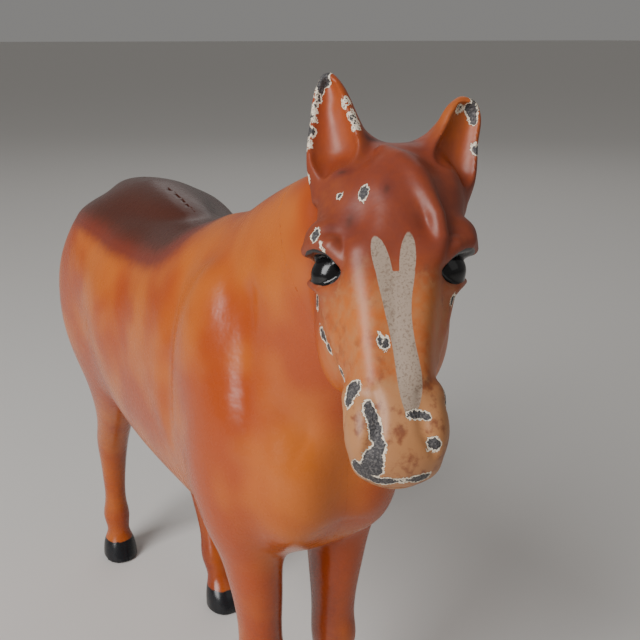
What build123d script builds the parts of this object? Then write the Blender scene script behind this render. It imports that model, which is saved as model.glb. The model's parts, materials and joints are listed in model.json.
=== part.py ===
from build123d import *
import os
from math import copysign, cos, pi, radians, sin

# Standing horse coin bank. The horse faces -Y, its left side is +X, and it stands on z = 0.
# Two hollow iron castings, the right and left sides, meet on the plane x = 0 and trap the tenon
# of a separate head casting, the tenon of a separate tail casting and the hinge pin of the belly
# trap. Two long screws draw them together. Coins go in by a slot in the back and come out by
# the trap, which a warded cam lock with a flat key holds shut. All sizes are in millimetres.

# ---- driving dimensions ----------------------------------------------------------------------
MIDDLE_Y = 3.7                # the middle of the footprint, which is moved to y = 0 on export
WALL = 3.2                    # wall of the hollow castings
GAP = 0.1                     # clearance between a casting and what it traps
MIDDLE_GAP = 0.05             # each side casting stops this far from the middle plane

SLOT_WIDTH = 4.8
SLOT_FRONT = -28.0            # the slot lies along the withers
SLOT_BACK = 6.0

FRONT_LEG_Y = -37.0
RIGHT_HIND_Y = 107.0          # the right hind foot stands back
LEFT_HIND_Y = 54.0            # the left hind foot is a stride further forward

POLL = Vector(-1.8, -81.0, 191.2)   # top of the head, between the ears
HEAD_TURN = 25.5              # degrees that the head is turned to the horse's right
FACE_DIP = 51.0               # degrees that the face points below the horizontal

# stations of the trunk from chest to buttock: y, centre z, half width, half height
TRUNK = [
    (-62, 116, 8.5, 12),
    (-56, 116.5, 16.5, 21.5),
    (-44, 117.5, 22, 30.5),
    (-28, 120, 24, 38),
    (-10, 121, 25, 41.5),
    (10, 120, 26.5, 41),
    (30, 119, 27.5, 40),
    (48, 120, 28, 40),
    (66, 122.5, 28.5, 39),
    (82, 125, 28, 36),
    (98, 125.5, 23.5, 28.5),
    (109, 125.5, 11, 15.5),
]
FULLNESS = 2.5                # 2 is an ellipse, more makes the back and flanks squarer

# stations of the neck from the withers to the throat: y, z, half width, half depth, lean in degrees
NECK = [
    (-17, 126, 20, 40, 40),
    (-34, 140.5, 17.5, 34, 41),
    (-48, 154, 15, 28, 42),
    (-61, 165, 12.5, 22.5, 42),
    (-74, 173.5, 11, 18.5, 38),
]
NECK_JOINT = 3                # the station where the head casting begins

# stations of the head down the face: distance from the poll, front, back, half width
HEAD = [
    (-4, -4, -20, 6),
    (0, 0, -24, 10),
    (6, 2.4, -27, 12.2),
    (12, 3.2, -29, 14),
    (18, 3.2, -29.5, 14.6),
    (25, 2.4, -28, 13.2),
    (32, 1.6, -24, 11.4),
    (39, 0.8, -19, 9.6),
    (46, 0.8, -16.5, 9),
    (53, 0.8, -15.5, 9.2),
    (57.5, -0.8, -13.5, 7.6),
    (60.5, -4, -10.5, 3.8),
]
EARS = [(-8.1, -0.12, 21), (10.5, 0.45, 18)]   # root to the left, sideways lean, length

# stations of a front leg: height, x, y offset, half width, half depth
FRONT_LEG = [
    (122, 13, 2, 5, 8),
    (110, 14, 3, 7.8, 13),
    (97, 13.8, 2.5, 8.2, 13.5),
    (84, 12.8, 1, 7.4, 11),
    (71, 11.6, 0, 6.2, 8.4),
    (59, 11.1, -0.5, 5.6, 6.8),
    (51, 11, -0.8, 5.8, 6.4),
    (44, 11, -0.3, 4.8, 5.3),
    (32, 11, 0.4, 3.9, 4.7),
    (22, 11, 0.6, 4.1, 4.9),
    (17, 11, 0.2, 4.9, 5.6),
    (11, 11, -2, 4.3, 5),
    (7.5, 11.1, -3, 5.5, 6.2),
    (0, 11.3, -4.5, 6.8, 8),
]

# stations of a hind leg: height, share of the stride, x, y offset, half width, half depth
HIND_LEG = [
    (151, 0.0, 12, 82, 8, 13),
    (138, 0.0, 14.5, 82, 13.5, 22),
    (122, 0.0, 15.4, 82, 14.6, 26),
    (106, 0.05, 15.4, 80, 13.4, 24),
    (91, 0.15, 15, 80, 10.6, 18),
    (77, 0.28, 14.2, 84, 7.8, 11.5),
    (65, 0.4, 13.6, 89, 6.4, 8.6),
    (54, 0.5, 13.2, 94, 5.9, 7.8),
    (46, 0.6, 13, 94, 5.2, 6.4),
    (34, 0.75, 13, 92, 4.3, 5.2),
    (24, 0.86, 13, 90, 4.4, 5.2),
    (17, 0.92, 13, 89, 5.1, 5.8),
    (11, 0.96, 13, 87, 4.5, 5.1),
    (7.5, 0.99, 13.1, 86, 5.7, 6.3),
    (0, 1.0, 13.3, 84.5, 6.8, 8),
]

# stations of the tail from the dock down: y, z, half width, half depth, slope in degrees
TAIL = [
    (104, 138, 3.6, 4.2, 0),
    (110, 137, 4.2, 4.5, 35),
    (114.5, 128, 5, 4.6, 78),
    (115.5, 112, 6.2, 5, 90),
    (115.5, 95, 6.8, 5.3, 90),
    (115, 80, 5.8, 4.8, 90),
    (115.3, 70, 4, 3.6, 90),
    (115.8, 62, 2, 2, 90),
]
TAIL_TENON_END = 96.0
TAIL_TENON_Z = 137.5

# belly trap and its hinge: a curved door that follows the belly
TRAP_THICK = 1.7
TRAP_SKIN_GAP = 0.1           # the door lies this far inside the skin
TRAP_HALF_X = 12.1
TRAP_FRONT = -7.7
TRAP_BACK = 26.7
TRAP_GAP = 0.35
OPENING_HALF_X = 10.3
OPENING_FRONT = -5.5
OPENING_BACK = 24.5
COLLAR_TOP = 90.6
COLLAR_WALL = 3.0
HINGE_Y = -11.2
HINGE_Z = 83.6
HINGE_PIN_RADIUS = 0.8
HINGE_PIN_HALF = 8.8
KNUCKLE_RADIUS = 1.7
KNUCKLE_HALF = 6.6
ARM_LOW = 81.9                # the arm joins the knuckle to the door
ARM_HIGH = 84.6
SWING_RADIUS_IN = 5.0         # the door's front corners are cut back to these radii from the hinge
SWING_RADIUS_OUT = 3.95

# lock on the trap
LOCK_Y = 17.0
PAD_TOP = 84.0                # flat pad inside the door that carries the lock
PAD_HALF_X = 8.8
PAD_HALF_Y = 6.2
CASE_RADIUS = 5.2
CASE_FLANGE_RADIUS = 8.4
CASE_FLANGE_THICK = 0.8
CASE_TOP = 91.0
CASE_WALL = 0.7
PLUG_RADIUS = 3.6
PLUG_NECK_RADIUS = 2.5
PLUG_FACE_Z = 79.4
CAM_THICK = 1.2
CAM_LENGTH = 9.6
CAM_HALF_WIDTH = 2.6
WASHER_THICK = 0.4
RIVET_RADIUS = 0.9
KEY_THICK = 1.0
KEY_WIDTH = 4.2
KEY_DEPTH = 7.5               # how far the blade stands in the lock
KEY_OUT = 12.5                # how far the key hangs below the lock's face
KEY_BOW_RADIUS = 4.0

# assembly screws: y, z
SCREWS = {"front": (-32.0, 128.0), "rear": (74.0, 131.0)}
SCREW_RADIUS = 2.0
SCREW_HEAD_RADIUS = 4.0
SCREW_HEAD_THICK = 2.4
SCREW_END_X = -11.0
BOSS_RADIUS = 5.2


# ---- helpers ---------------------------------------------------------------------------------
def slab(low, high):
    """An upright box between two corners."""
    size = [b - a for a, b in zip(low, high)]
    return Pos(*low) * Box(*size, align=(Align.MIN, Align.MIN, Align.MIN))


def rod(radius, low, high, along="Z"):
    """A cylinder of a radius from a low point to a high point along one axis."""
    turn = {"X": Rot(0, 90, 0), "Y": Rot(-90, 0, 0), "Z": Rot(0, 0, 0)}[along]
    length = (Vector(*high) - Vector(*low)).length
    return Pos(*low) * turn * Cylinder(radius, length, align=(Align.CENTER, Align.CENTER, Align.MIN))


def biggest(shape):
    """The largest solid of a shape, without any offcuts."""
    return shape.solids().sort_by(SortBy.VOLUME)[-1]


def upright_loft(stations):
    """A leg: level ovals of x, y, z, half width and half depth."""
    return loft([Pos(x, y, z) * Ellipse(rx, ry) for x, y, z, rx, ry in stations])


# ---- the horse's outer form ------------------------------------------------------------------
def full_oval(half_width, half_height, count=16):
    """A squarish oval face, drawn as one closed curve."""
    power = 2 / FULLNESS
    points = []
    for step in range(count):
        c, s = cos(2 * pi * step / count), sin(2 * pi * step / count)
        points.append((half_width * copysign(abs(c) ** power, c), half_height * copysign(abs(s) ** power, s)))
    return make_face(Spline(*points, periodic=True))


def trunk(inset=0.0, skip=0):
    """The barrel of the body, or its hollow when inset."""
    rows = TRUNK[skip:len(TRUNK) - skip]
    return loft([
        Plane(origin=(0, y, zc), x_dir=(1, 0, 0), z_dir=(0, 1, 0)) * full_oval(hw - inset, hh - inset)
        for y, zc, hw, hh in rows
    ])


def neck_plane(station):
    """The cross-section plane of the neck at one station, looking up the neck."""
    y, z, _, _, lean = station
    return Plane(origin=(0, y, z), x_dir=(1, 0, 0), z_dir=(0, -cos(radians(lean)), sin(radians(lean))))


def neck(rows, inset=0.0):
    """Neck between the given stations."""
    return loft([neck_plane(row) * Ellipse(row[2] - inset, row[3] - inset) for row in rows])


def front_leg(side):
    """A front leg from inside the shoulder to the hoof."""
    return upright_loft([
        (side * x, FRONT_LEG_Y + y, z, rx, ry) for z, x, y, rx, ry in FRONT_LEG
    ])


def hind_leg(side, foot_y):
    """A hind leg from inside the haunch to the hoof, striding to foot_y."""
    stride = foot_y - HIND_LEG[-1][3]
    return upright_loft([
        (side * x, y + share * stride, z, rx, ry) for z, share, x, y, rx, ry in HIND_LEG
    ])


def head_axes():
    """Unit vectors down the face, to the horse's left and out of the face."""
    turn = radians(HEAD_TURN)
    dip = radians(FACE_DIP)
    ahead = Vector(-sin(turn), -cos(turn), 0)
    down = ahead * cos(dip) + Vector(0, 0, -1) * sin(dip)
    left = Vector(cos(turn), -sin(turn), 0)
    return down, left, down.cross(left)


def head_form():
    """Skull and muzzle with both ears."""
    down, left, out = head_axes()
    sections = []
    for along, front, back, half_width in HEAD:
        centre = POLL + down * along + out * ((front + back) / 2)
        plane = Plane(origin=centre, x_dir=left, z_dir=down)
        sections.append(plane * Ellipse(half_width, (front - back) / 2))
    form = loft(sections)
    for across, lean, length in EARS:
        root = POLL + down * 3 + left * across - out * 6
        lift = (down * -0.88 + left * lean + out * 0.28).normalized()
        ear = [(0, 4.8, 3.8), (0.3, 5.4, 3.2), (0.6, 4.7, 2.4), (0.83, 3, 1.6), (1, 1, 0.6)]
        form += loft([
            Plane(origin=root + lift * (share * length), x_dir=left, z_dir=lift) * Ellipse(wide, deep)
            for share, wide, deep in ear
        ])
    return form


# ---- joints between the castings -------------------------------------------------------------
def neck_cut(ahead):
    """Everything above the neck joint, or below it."""
    plane = neck_plane(NECK[NECK_JOINT])
    size = 200
    way = Align.MIN if ahead else Align.MAX
    return plane * Box(size, size, size, align=(Align.CENTER, Align.CENTER, way))


def head_tenon(grow=0.0):
    """Round tenon with a collar that the neck halves close round."""
    plane = neck_plane(NECK[NECK_JOINT])
    down = (Align.CENTER, Align.CENTER, Align.MAX)
    stem = plane * Pos(0, 0, 1) * Cylinder(6 + grow, 9 + grow, align=down)
    collar = plane * Pos(0, 0, -4.5 + grow) * Cylinder(8.2 + grow, 2.6 + 2 * grow, align=down)
    return stem + collar


def tail_tenon(grow=0.0):
    """Round tenon with a button end that the rump halves close round."""
    end = TAIL_TENON_END
    stem = rod(2.4 + grow, (0, end - grow, TAIL_TENON_Z), (0, 112, TAIL_TENON_Z), "Y")
    button = rod(4 + grow, (0, end - grow, TAIL_TENON_Z), (0, end + 2.4 + grow, TAIL_TENON_Z), "Y")
    return stem + button


def tail(body):
    """Tail hair cast in one piece with its tenon, fitted against the rump."""
    sections = []
    for y, z, rx, ry, slope in TAIL:
        along = (0, cos(radians(slope)), -sin(radians(slope)))
        sections.append(Plane(origin=(0, y, z), x_dir=(1, 0, 0), z_dir=along) * Ellipse(rx, ry))
    return biggest(loft(sections) - body) + tail_tenon()


# ---- belly trap seat and screw bosses --------------------------------------------------------
def trap_region(grow=0.0):
    """Upright block over the door's outline."""
    return slab(
        (-TRAP_HALF_X - grow, TRAP_FRONT - grow, 60),
        (TRAP_HALF_X + grow, TRAP_BACK + grow, 95),
    )


def belly_piece(inset):
    """The part of the barrel round the trap, drawn in by an inset."""
    return trunk(inset) & slab((-40, -40, 50), (40, 60, 110))


def trap_collar(barrel):
    """Frame inside the belly round the trap opening."""
    block = slab(
        (-OPENING_HALF_X - COLLAR_WALL, HINGE_Y - 7, 76),
        (OPENING_HALF_X + COLLAR_WALL, OPENING_BACK + 2 * COLLAR_WALL, COLLAR_TOP),
    )
    return block & barrel


def trap_cuts():
    """Curved seat, opening, knuckle notch and hinge pin hole."""
    seat = trap_region(TRAP_GAP) - belly_piece(TRAP_SKIN_GAP + TRAP_THICK + 0.1)
    opening = slab((-OPENING_HALF_X, OPENING_FRONT, 60), (OPENING_HALF_X, OPENING_BACK, COLLAR_TOP + 1))
    notch = slab(
        (-KNUCKLE_HALF - TRAP_GAP, HINGE_Y - 4.2, 60),
        (KNUCKLE_HALF + TRAP_GAP, OPENING_FRONT + 0.5, HINGE_Z + 2.2),
    )
    hole = rod(HINGE_PIN_RADIUS + 0.02, (-HINGE_PIN_HALF - 0.05, HINGE_Y, HINGE_Z),
               (HINGE_PIN_HALF + 0.05, HINGE_Y, HINGE_Z), "X")
    return seat + opening + notch + hole


def boss(y, z):
    """Boss across the hollow for one assembly screw."""
    return rod(BOSS_RADIUS, (-22, y, z), (22, y, z), "X")


def screw_head_x(y, z, form):
    """Where the screw's head sits below the left skin."""
    line = rod(SCREW_HEAD_RADIUS, (0, y, z), (40, y, z), "X") & form
    return line.bounding_box().max.X - SCREW_HEAD_THICK - 1.4


def screw_cut(y, z, head_x):
    """Clearance hole, counterbore and blind tapped hole for one assembly screw."""
    shank = rod(SCREW_RADIUS + 0.03, (SCREW_END_X - 0.5, y, z), (head_x, y, z), "X")
    return shank + rod(SCREW_HEAD_RADIUS + 0.2, (head_x, y, z), (40, y, z), "X")


# ---- small parts -----------------------------------------------------------------------------
def assembly_screw(y, z, head_x):
    """Slotted cheese-head screw that draws the two sides together."""
    body = rod(SCREW_RADIUS, (SCREW_END_X, y, z), (head_x + 0.01, y, z), "X")
    head = rod(SCREW_HEAD_RADIUS, (head_x + 0.01, y, z), (head_x + SCREW_HEAD_THICK, y, z), "X")
    slot = slab((head_x + SCREW_HEAD_THICK - 1.1, y - 5, z - 0.5), (head_x + 5, y + 5, z + 0.5))
    return body + head - slot


def rivet_places():
    """Centres of the two rivets that hold the lock case on the trap."""
    reach = (CASE_RADIUS + CASE_FLANGE_RADIUS) / 2 + 0.1
    return {"right": (-reach, LOCK_Y), "left": (reach, LOCK_Y)}


def swing_relief(side):
    """Cone about the hinge axis, outside which a front corner of the door swings past its seat."""
    length = TRAP_HALF_X + 1 - KNUCKLE_HALF
    cone = Cone(SWING_RADIUS_IN, SWING_RADIUS_OUT, length)
    return Pos(side * (KNUCKLE_HALF + length / 2), HINGE_Y, HINGE_Z) * Rot(0, side * 90, 0) * cone


def trap_door():
    """Cast door that follows the belly, with a knuckle in front and a flat pad inside for the lock."""
    pad = slab((-PAD_HALF_X, LOCK_Y - PAD_HALF_Y, 50), (PAD_HALF_X, LOCK_Y + PAD_HALF_Y, PAD_TOP))
    root = slab((-KNUCKLE_HALF, TRAP_FRONT, 50), (KNUCKLE_HALF, TRAP_FRONT + 4.5, ARM_HIGH))
    inside = belly_piece(TRAP_SKIN_GAP + TRAP_THICK) - pad - root
    door = (trap_region() & belly_piece(TRAP_SKIN_GAP)) - inside
    door += slab((-KNUCKLE_HALF, HINGE_Y, ARM_LOW), (KNUCKLE_HALF, TRAP_FRONT + 1, ARM_HIGH))
    door += rod(KNUCKLE_RADIUS, (-KNUCKLE_HALF, HINGE_Y, HINGE_Z), (KNUCKLE_HALF, HINGE_Y, HINGE_Z), "X")
    door -= rod(HINGE_PIN_RADIUS + 0.06, (-10, HINGE_Y, HINGE_Z), (10, HINGE_Y, HINGE_Z), "X")
    door -= rod(PLUG_RADIUS + 0.08, (0, LOCK_Y, 70), (0, LOCK_Y, 90))
    door = door - swing_relief(1) - swing_relief(-1)
    for x, y in rivet_places().values():
        door -= rod(RIVET_RADIUS, (x, y, 70), (x, y, 90))
        door -= rod(1.6, (x, y, 70), (x, y, PAD_TOP - 2.4))
    return door


def lock_case():
    """Drawn steel cup with a flange, open below and pierced above for the plug."""
    flange = rod(CASE_FLANGE_RADIUS, (0, LOCK_Y, PAD_TOP), (0, LOCK_Y, PAD_TOP + CASE_FLANGE_THICK))
    flange &= slab((-20, LOCK_Y - CASE_RADIUS, PAD_TOP), (20, LOCK_Y + CASE_RADIUS, CASE_TOP))
    cup = rod(CASE_RADIUS, (0, LOCK_Y, PAD_TOP), (0, LOCK_Y, CASE_TOP))
    hollow = rod(CASE_RADIUS - CASE_WALL, (0, LOCK_Y, PAD_TOP - 1), (0, LOCK_Y, CASE_TOP - CASE_WALL))
    hole = rod(PLUG_NECK_RADIUS + 0.05, (0, LOCK_Y, PAD_TOP), (0, LOCK_Y, CASE_TOP + 1))
    case = flange + cup - hollow - hole
    for x, y in rivet_places().values():
        case -= rod(RIVET_RADIUS, (x, y, 80), (x, y, 90))
    return case


def lock_plug():
    """Brass plug that the key turns: face, barrel, shoulder, neck and square for the cam."""
    inner_top = CASE_TOP - CASE_WALL - 0.1
    neck_top = CASE_TOP + WASHER_THICK
    plug = rod(PLUG_RADIUS, (0, LOCK_Y, PLUG_FACE_Z), (0, LOCK_Y, PAD_TOP + 0.1))
    plug += rod(CASE_RADIUS - CASE_WALL - 0.1, (0, LOCK_Y, PAD_TOP + 0.1), (0, LOCK_Y, inner_top))
    plug += rod(PLUG_NECK_RADIUS, (0, LOCK_Y, inner_top), (0, LOCK_Y, neck_top))
    plug += Pos(0, LOCK_Y, neck_top) * Box(
        3, 3, CAM_THICK - 0.1, align=(Align.CENTER, Align.CENTER, Align.MIN))
    keyway = slab((-KEY_THICK / 2 - 0.1, LOCK_Y - KEY_WIDTH / 2 - 0.1, 70),
                  (KEY_THICK / 2 + 0.1, LOCK_Y + KEY_WIDTH / 2 + 0.1, PLUG_FACE_Z + KEY_DEPTH + 0.2))
    tapped = rod(0.8, (0, LOCK_Y, neck_top - 2), (0, LOCK_Y, 100))
    return plug - keyway - tapped


def cam_washer():
    """Sprung washer between the lock case and the cam."""
    disc = rod(4.4, (0, LOCK_Y, CASE_TOP + 0.02), (0, LOCK_Y, CASE_TOP + WASHER_THICK - 0.02))
    return disc - rod(PLUG_NECK_RADIUS + 0.05, (0, LOCK_Y, CASE_TOP - 1), (0, LOCK_Y, CASE_TOP + 2))


def lock_cam():
    """Cam turned aside, clear of the collar, as when the lock is open."""
    low = CASE_TOP + WASHER_THICK
    blade = slab((0, LOCK_Y - CAM_HALF_WIDTH, low), (CAM_LENGTH, LOCK_Y + CAM_HALF_WIDTH, low + CAM_THICK))
    hub = rod(3.4, (0, LOCK_Y, low), (0, LOCK_Y, low + CAM_THICK))
    square = Pos(0, LOCK_Y, low) * Box(3.06, 3.06, 10)
    return blade + hub - square


def cam_screw():
    """Small screw that holds the cam on the plug's square."""
    low = CASE_TOP + WASHER_THICK
    head = rod(2.4, (0, LOCK_Y, low + CAM_THICK), (0, LOCK_Y, low + CAM_THICK + 1.1))
    stem = rod(0.78, (0, LOCK_Y, low - 1.8), (0, LOCK_Y, low + CAM_THICK + 0.1))
    slot = slab((-3, LOCK_Y - 0.3, low + CAM_THICK + 0.6), (3, LOCK_Y + 0.3, low + 4))
    return head + stem - slot


def lock_rivet(x, y):
    """Rivet with a head sunk in the door and a set head on the lock's flange."""
    low = PAD_TOP - 2.4
    high = PAD_TOP + CASE_FLANGE_THICK
    rivet = rod(RIVET_RADIUS - 0.02, (x, y, low - 0.3), (x, y, high + 0.3))
    rivet += rod(1.5, (x, y, low - 0.7), (x, y, low))
    return rivet + rod(1.35, (x, y, high), (x, y, high + 0.55))


def key():
    """Flat key: notched blade in the lock and a round pierced bow below it."""
    face = PLUG_FACE_Z
    half = KEY_THICK / 2
    centre = face - KEY_OUT + KEY_BOW_RADIUS
    blade = slab((-half, LOCK_Y - KEY_WIDTH / 2, centre), (half, LOCK_Y + KEY_WIDTH / 2, face + KEY_DEPTH))
    for z in (face + 1.4, face + 3.6):
        blade -= slab((-1, LOCK_Y + 1.1, z), (1, LOCK_Y + 3, z + 1))
    shoulder = slab((-half, LOCK_Y - 3, face - 5), (half, LOCK_Y + 3, face - 0.6))
    bow = rod(KEY_BOW_RADIUS, (-half, LOCK_Y, centre), (half, LOCK_Y, centre), "X")
    hole = rod(1.5, (-1, LOCK_Y, centre - 1.2), (1, LOCK_Y, centre - 1.2), "X")
    return blade + shoulder + bow - hole


def hinge_pin():
    """Wire pin that the trap turns on, trapped between the two sides."""
    return rod(HINGE_PIN_RADIUS, (-HINGE_PIN_HALF, HINGE_Y, HINGE_Z), (HINGE_PIN_HALF, HINGE_Y, HINGE_Z), "X")


# ---- assembly --------------------------------------------------------------------------------
def outer_form(side):
    """Barrel, neck and the legs of one side, solid."""
    foot_y = RIGHT_HIND_Y if side < 0 else LEFT_HIND_Y
    return trunk() + neck(NECK[:NECK_JOINT + 1]) + front_leg(side) + hind_leg(side, foot_y)


def side_castings(screw_heads):
    """The right and left castings."""
    barrel = trunk()
    hollow = trunk(WALL, 2) + neck(NECK[:NECK_JOINT], WALL)
    collar = trap_collar(barrel)
    slot = slab((-SLOT_WIDTH / 2, SLOT_FRONT, 130), (SLOT_WIDTH / 2, SLOT_BACK, 190))
    sides = {}
    for name, side in (("body_right", -1), ("body_left", 1)):
        half = outer_form(side) - hollow + collar
        for y, z in SCREWS.values():
            half += boss(y, z) & barrel
        edges = sorted((side * MIDDLE_GAP, side * 60))
        half = half & slab((edges[0], -200, -10), (edges[1], 200, 260))
        half = half - trap_cuts() - slot - head_tenon(GAP) - tail_tenon(GAP)
        for screw, (y, z) in SCREWS.items():
            half -= screw_cut(y, z, screw_heads[screw])
        sides[name] = biggest(half)
    return sides


def head_casting():
    """Head, ears and the top of the neck, with the tenon below."""
    crown = neck(NECK[NECK_JOINT:]) & neck_cut(True)
    form = (head_form() + crown) & neck_cut(True)
    return form + head_tenon()


def build():
    """Every sub-part by its node name."""
    left_skin = outer_form(1)
    screw_heads = {name: screw_head_x(y, z, left_skin) for name, (y, z) in SCREWS.items()}
    parts = side_castings(screw_heads)
    parts["head"] = head_casting()
    parts["tail"] = tail(left_skin + outer_form(-1))
    for name, (y, z) in SCREWS.items():
        parts[f"assembly_screw_{name}"] = assembly_screw(y, z, screw_heads[name])
    parts["trap_hinge_pin"] = hinge_pin()
    parts["trap_door"] = trap_door()
    parts["lock_case"] = lock_case()
    for name, (x, y) in rivet_places().items():
        parts[f"lock_rivet_{name}"] = lock_rivet(x, y)
    parts["lock_plug"] = lock_plug()
    parts["cam_washer"] = cam_washer()
    parts["lock_cam"] = lock_cam()
    parts["cam_screw"] = cam_screw()
    parts["key"] = key()
    return parts


os.makedirs("parts", exist_ok=True)
for node, shape in build().items():
    export_step(Pos(0, -MIDDLE_Y, 0) * shape, f"parts/{node}.step")
    print(node, len(shape.solids()), round(shape.volume, 1))
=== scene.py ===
import json
import math
import bpy
import numpy as np
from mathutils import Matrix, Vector


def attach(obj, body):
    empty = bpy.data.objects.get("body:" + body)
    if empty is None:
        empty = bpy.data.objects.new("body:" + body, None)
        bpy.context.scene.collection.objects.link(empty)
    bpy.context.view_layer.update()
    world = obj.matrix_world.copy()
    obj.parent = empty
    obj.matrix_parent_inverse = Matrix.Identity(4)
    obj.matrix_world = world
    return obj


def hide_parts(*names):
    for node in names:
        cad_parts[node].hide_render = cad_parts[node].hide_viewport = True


# Standing horse coin bank. Shapes are worked out in millimetres in the frame of the solid model:
# the horse faces -Y, its left is +X and it stands on z = 0. Meshes are made in metres.
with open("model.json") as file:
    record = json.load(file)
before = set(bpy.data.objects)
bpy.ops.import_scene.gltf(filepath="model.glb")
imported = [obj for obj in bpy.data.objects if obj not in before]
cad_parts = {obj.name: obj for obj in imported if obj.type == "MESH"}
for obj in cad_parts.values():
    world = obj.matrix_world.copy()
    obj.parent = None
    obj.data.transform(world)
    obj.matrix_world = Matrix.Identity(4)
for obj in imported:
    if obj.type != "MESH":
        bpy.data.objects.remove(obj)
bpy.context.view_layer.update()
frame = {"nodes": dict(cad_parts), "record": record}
print("stage: frame loaded")


# small tools
def toLinear(text):
    channels = [int(text[i:i + 2], 16) / 255 for i in (1, 3, 5)]
    return [c / 12.92 if c <= 0.04045 else ((c + 0.055) / 1.055) ** 2.4 for c in channels] + [1.0]


def splineOf(knots, values):
    # natural cubic through the stations, level outside them
    x, y = np.array(knots, float), np.array(values, float)
    n, h = len(x), np.diff(x)
    grid, side = np.zeros((n, n)), np.zeros(n)
    grid[0, 0] = grid[-1, -1] = 1
    for i in range(1, n - 1):
        grid[i, i - 1:i + 2] = h[i - 1], 2 * (h[i - 1] + h[i]), h[i]
        side[i] = 6 * ((y[i + 1] - y[i]) / h[i] - (y[i] - y[i - 1]) / h[i - 1])
    bend = np.linalg.solve(grid, side)

    def at(t):
        t = np.clip(t, x[0], x[-1])
        i = np.clip(np.searchsorted(x, t) - 1, 0, n - 2)
        b = (t - x[i]) / h[i]
        a = 1 - b
        curve = ((a ** 3 - a) * bend[i] + (b ** 3 - b) * bend[i + 1]) * h[i] ** 2 / 6
        return a * y[i] + b * y[i + 1] + curve
    return at


def join(a, b, soft):
    # union of two distances with a fillet of about that many millimetres
    h = np.maximum(soft - np.abs(a - b), 0) / soft
    return np.minimum(a, b) - h ** 3 * soft / 6


def carve(a, b, soft):
    # a without b, with a softened edge
    return -join(-a, b, soft)


def oval(u, v, ru, rv, power=2.0):
    k = (np.abs(u / ru) ** power + np.abs(v / rv) ** power) ** (1 / power)
    small = np.minimum(ru, rv)
    return (k - 1) * (np.hypot(u, v) + 1e-3 * small) / (k + 1e-3)


def blob(points, centre, radii, axes=None):
    d = points - np.array(centre, float)
    if axes is not None:
        d = d @ np.array(axes, float).T
    r = np.array(radii, float)
    k = np.sqrt(((d / r) ** 2).sum(1))
    return (k - 1) * (np.sqrt((d ** 2).sum(1)) + 1e-3 * r.min()) / (k + 1e-3)


def rope(points, path, radii):
    # rounded strand through a few points whose radius changes along it
    best = np.full(len(points), 1e3)
    for (p, q), (r, s) in zip(zip(path, path[1:]), zip(radii, radii[1:])):
        p, q = np.array(p, float), np.array(q, float)
        line = q - p
        t = np.clip(((points - p) @ line) / (line @ line), 0, 1)
        best = np.minimum(best, np.linalg.norm(points - p - t[:, None] * line, axis=1) - (r + (s - r) * t))
    return best


def fade(x, low, high):
    t = np.clip((x - low) / (high - low), 0, 1)
    return t * t * (3 - 2 * t)


# the horse's form
middleY = 3.7
horse = {
    # y, centre z, half width, half height
    "trunk": [(-62, 116, 8.5, 12), (-56, 116.5, 16.5, 21.5), (-44, 117.5, 22, 30.5), (-28, 120, 24, 38),
              (-10, 121, 25, 41.5), (10, 120, 26.5, 41), (30, 119, 27.5, 40), (48, 120, 28, 40),
              (66, 122.5, 28.5, 39), (82, 125, 28, 36), (98, 125.5, 23.5, 28.5), (109, 125.5, 11, 15.5)],
    "fullness": 2.5,
    # y, z, half width, half depth
    "neck": [(-17, 126, 20, 40), (-34, 140.5, 17.5, 34), (-48, 154, 15, 28), (-61, 165, 12.5, 22.5),
             (-74, 173.5, 11, 18.5)],
    "neckLean": 41.5,
    "jointAt": (-61, 165, 42),
    # height, x, y offset, half width, half depth
    "frontLeg": [(122, 13, 2, 5, 8), (110, 14, 3, 7.8, 13), (97, 13.8, 2.5, 8.2, 13.5), (84, 12.8, 1, 7.4, 11),
                 (71, 11.6, 0, 6.2, 8.4), (59, 11.1, -0.5, 5.6, 6.8), (51, 11, -0.8, 5.8, 6.4),
                 (44, 11, -0.3, 4.8, 5.3), (32, 11, 0.4, 3.9, 4.7), (22, 11, 0.6, 4.1, 4.9),
                 (17, 11, 0.2, 4.9, 5.6), (11, 11, -2, 4.3, 5), (7.5, 11.1, -3, 5.5, 6.2),
                 (0, 11.3, -4.5, 6.8, 8)],
    "frontFootY": -37,
    # height, share of the stride, x, y offset, half width, half depth
    "hindLeg": [(151, 0, 12, 82, 8, 13), (138, 0, 14.5, 82, 13.5, 22), (122, 0, 15.4, 82, 14.6, 26),
                (106, 0.05, 15.4, 80, 13.4, 24), (91, 0.15, 15, 80, 10.6, 18), (77, 0.28, 14.2, 84, 7.8, 11.5),
                (65, 0.4, 13.6, 89, 6.4, 8.6), (54, 0.5, 13.2, 94, 5.9, 7.8), (46, 0.6, 13, 94, 5.2, 6.4),
                (34, 0.75, 13, 92, 4.3, 5.2), (24, 0.86, 13, 90, 4.4, 5.2), (17, 0.92, 13, 89, 5.1, 5.8),
                (11, 0.96, 13, 87, 4.5, 5.1), (7.5, 0.99, 13.1, 86, 5.7, 6.3), (0, 1, 13.3, 84.5, 6.8, 8)],
    "hindFootY": {-1: 107, 1: 54},
    "wall": 3.2,
    "hoofHeight": 8.2,
}


def tubeAlongY(rows):
    y = [r[0] - middleY for r in rows]
    return [splineOf(y, [r[i] for r in rows]) for i in (1, 2, 3)]


trunkAt = tubeAlongY(horse["trunk"])


def trunkField(p):
    zc, hw, hh = (f(p[:, 1]) for f in trunkAt)
    d = oval(p[:, 0], p[:, 2] - zc, hw, hh, horse["fullness"])
    ends = np.maximum(-62 - middleY - p[:, 1], p[:, 1] - (109 - middleY))
    return carve(d, -ends, 9)


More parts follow.
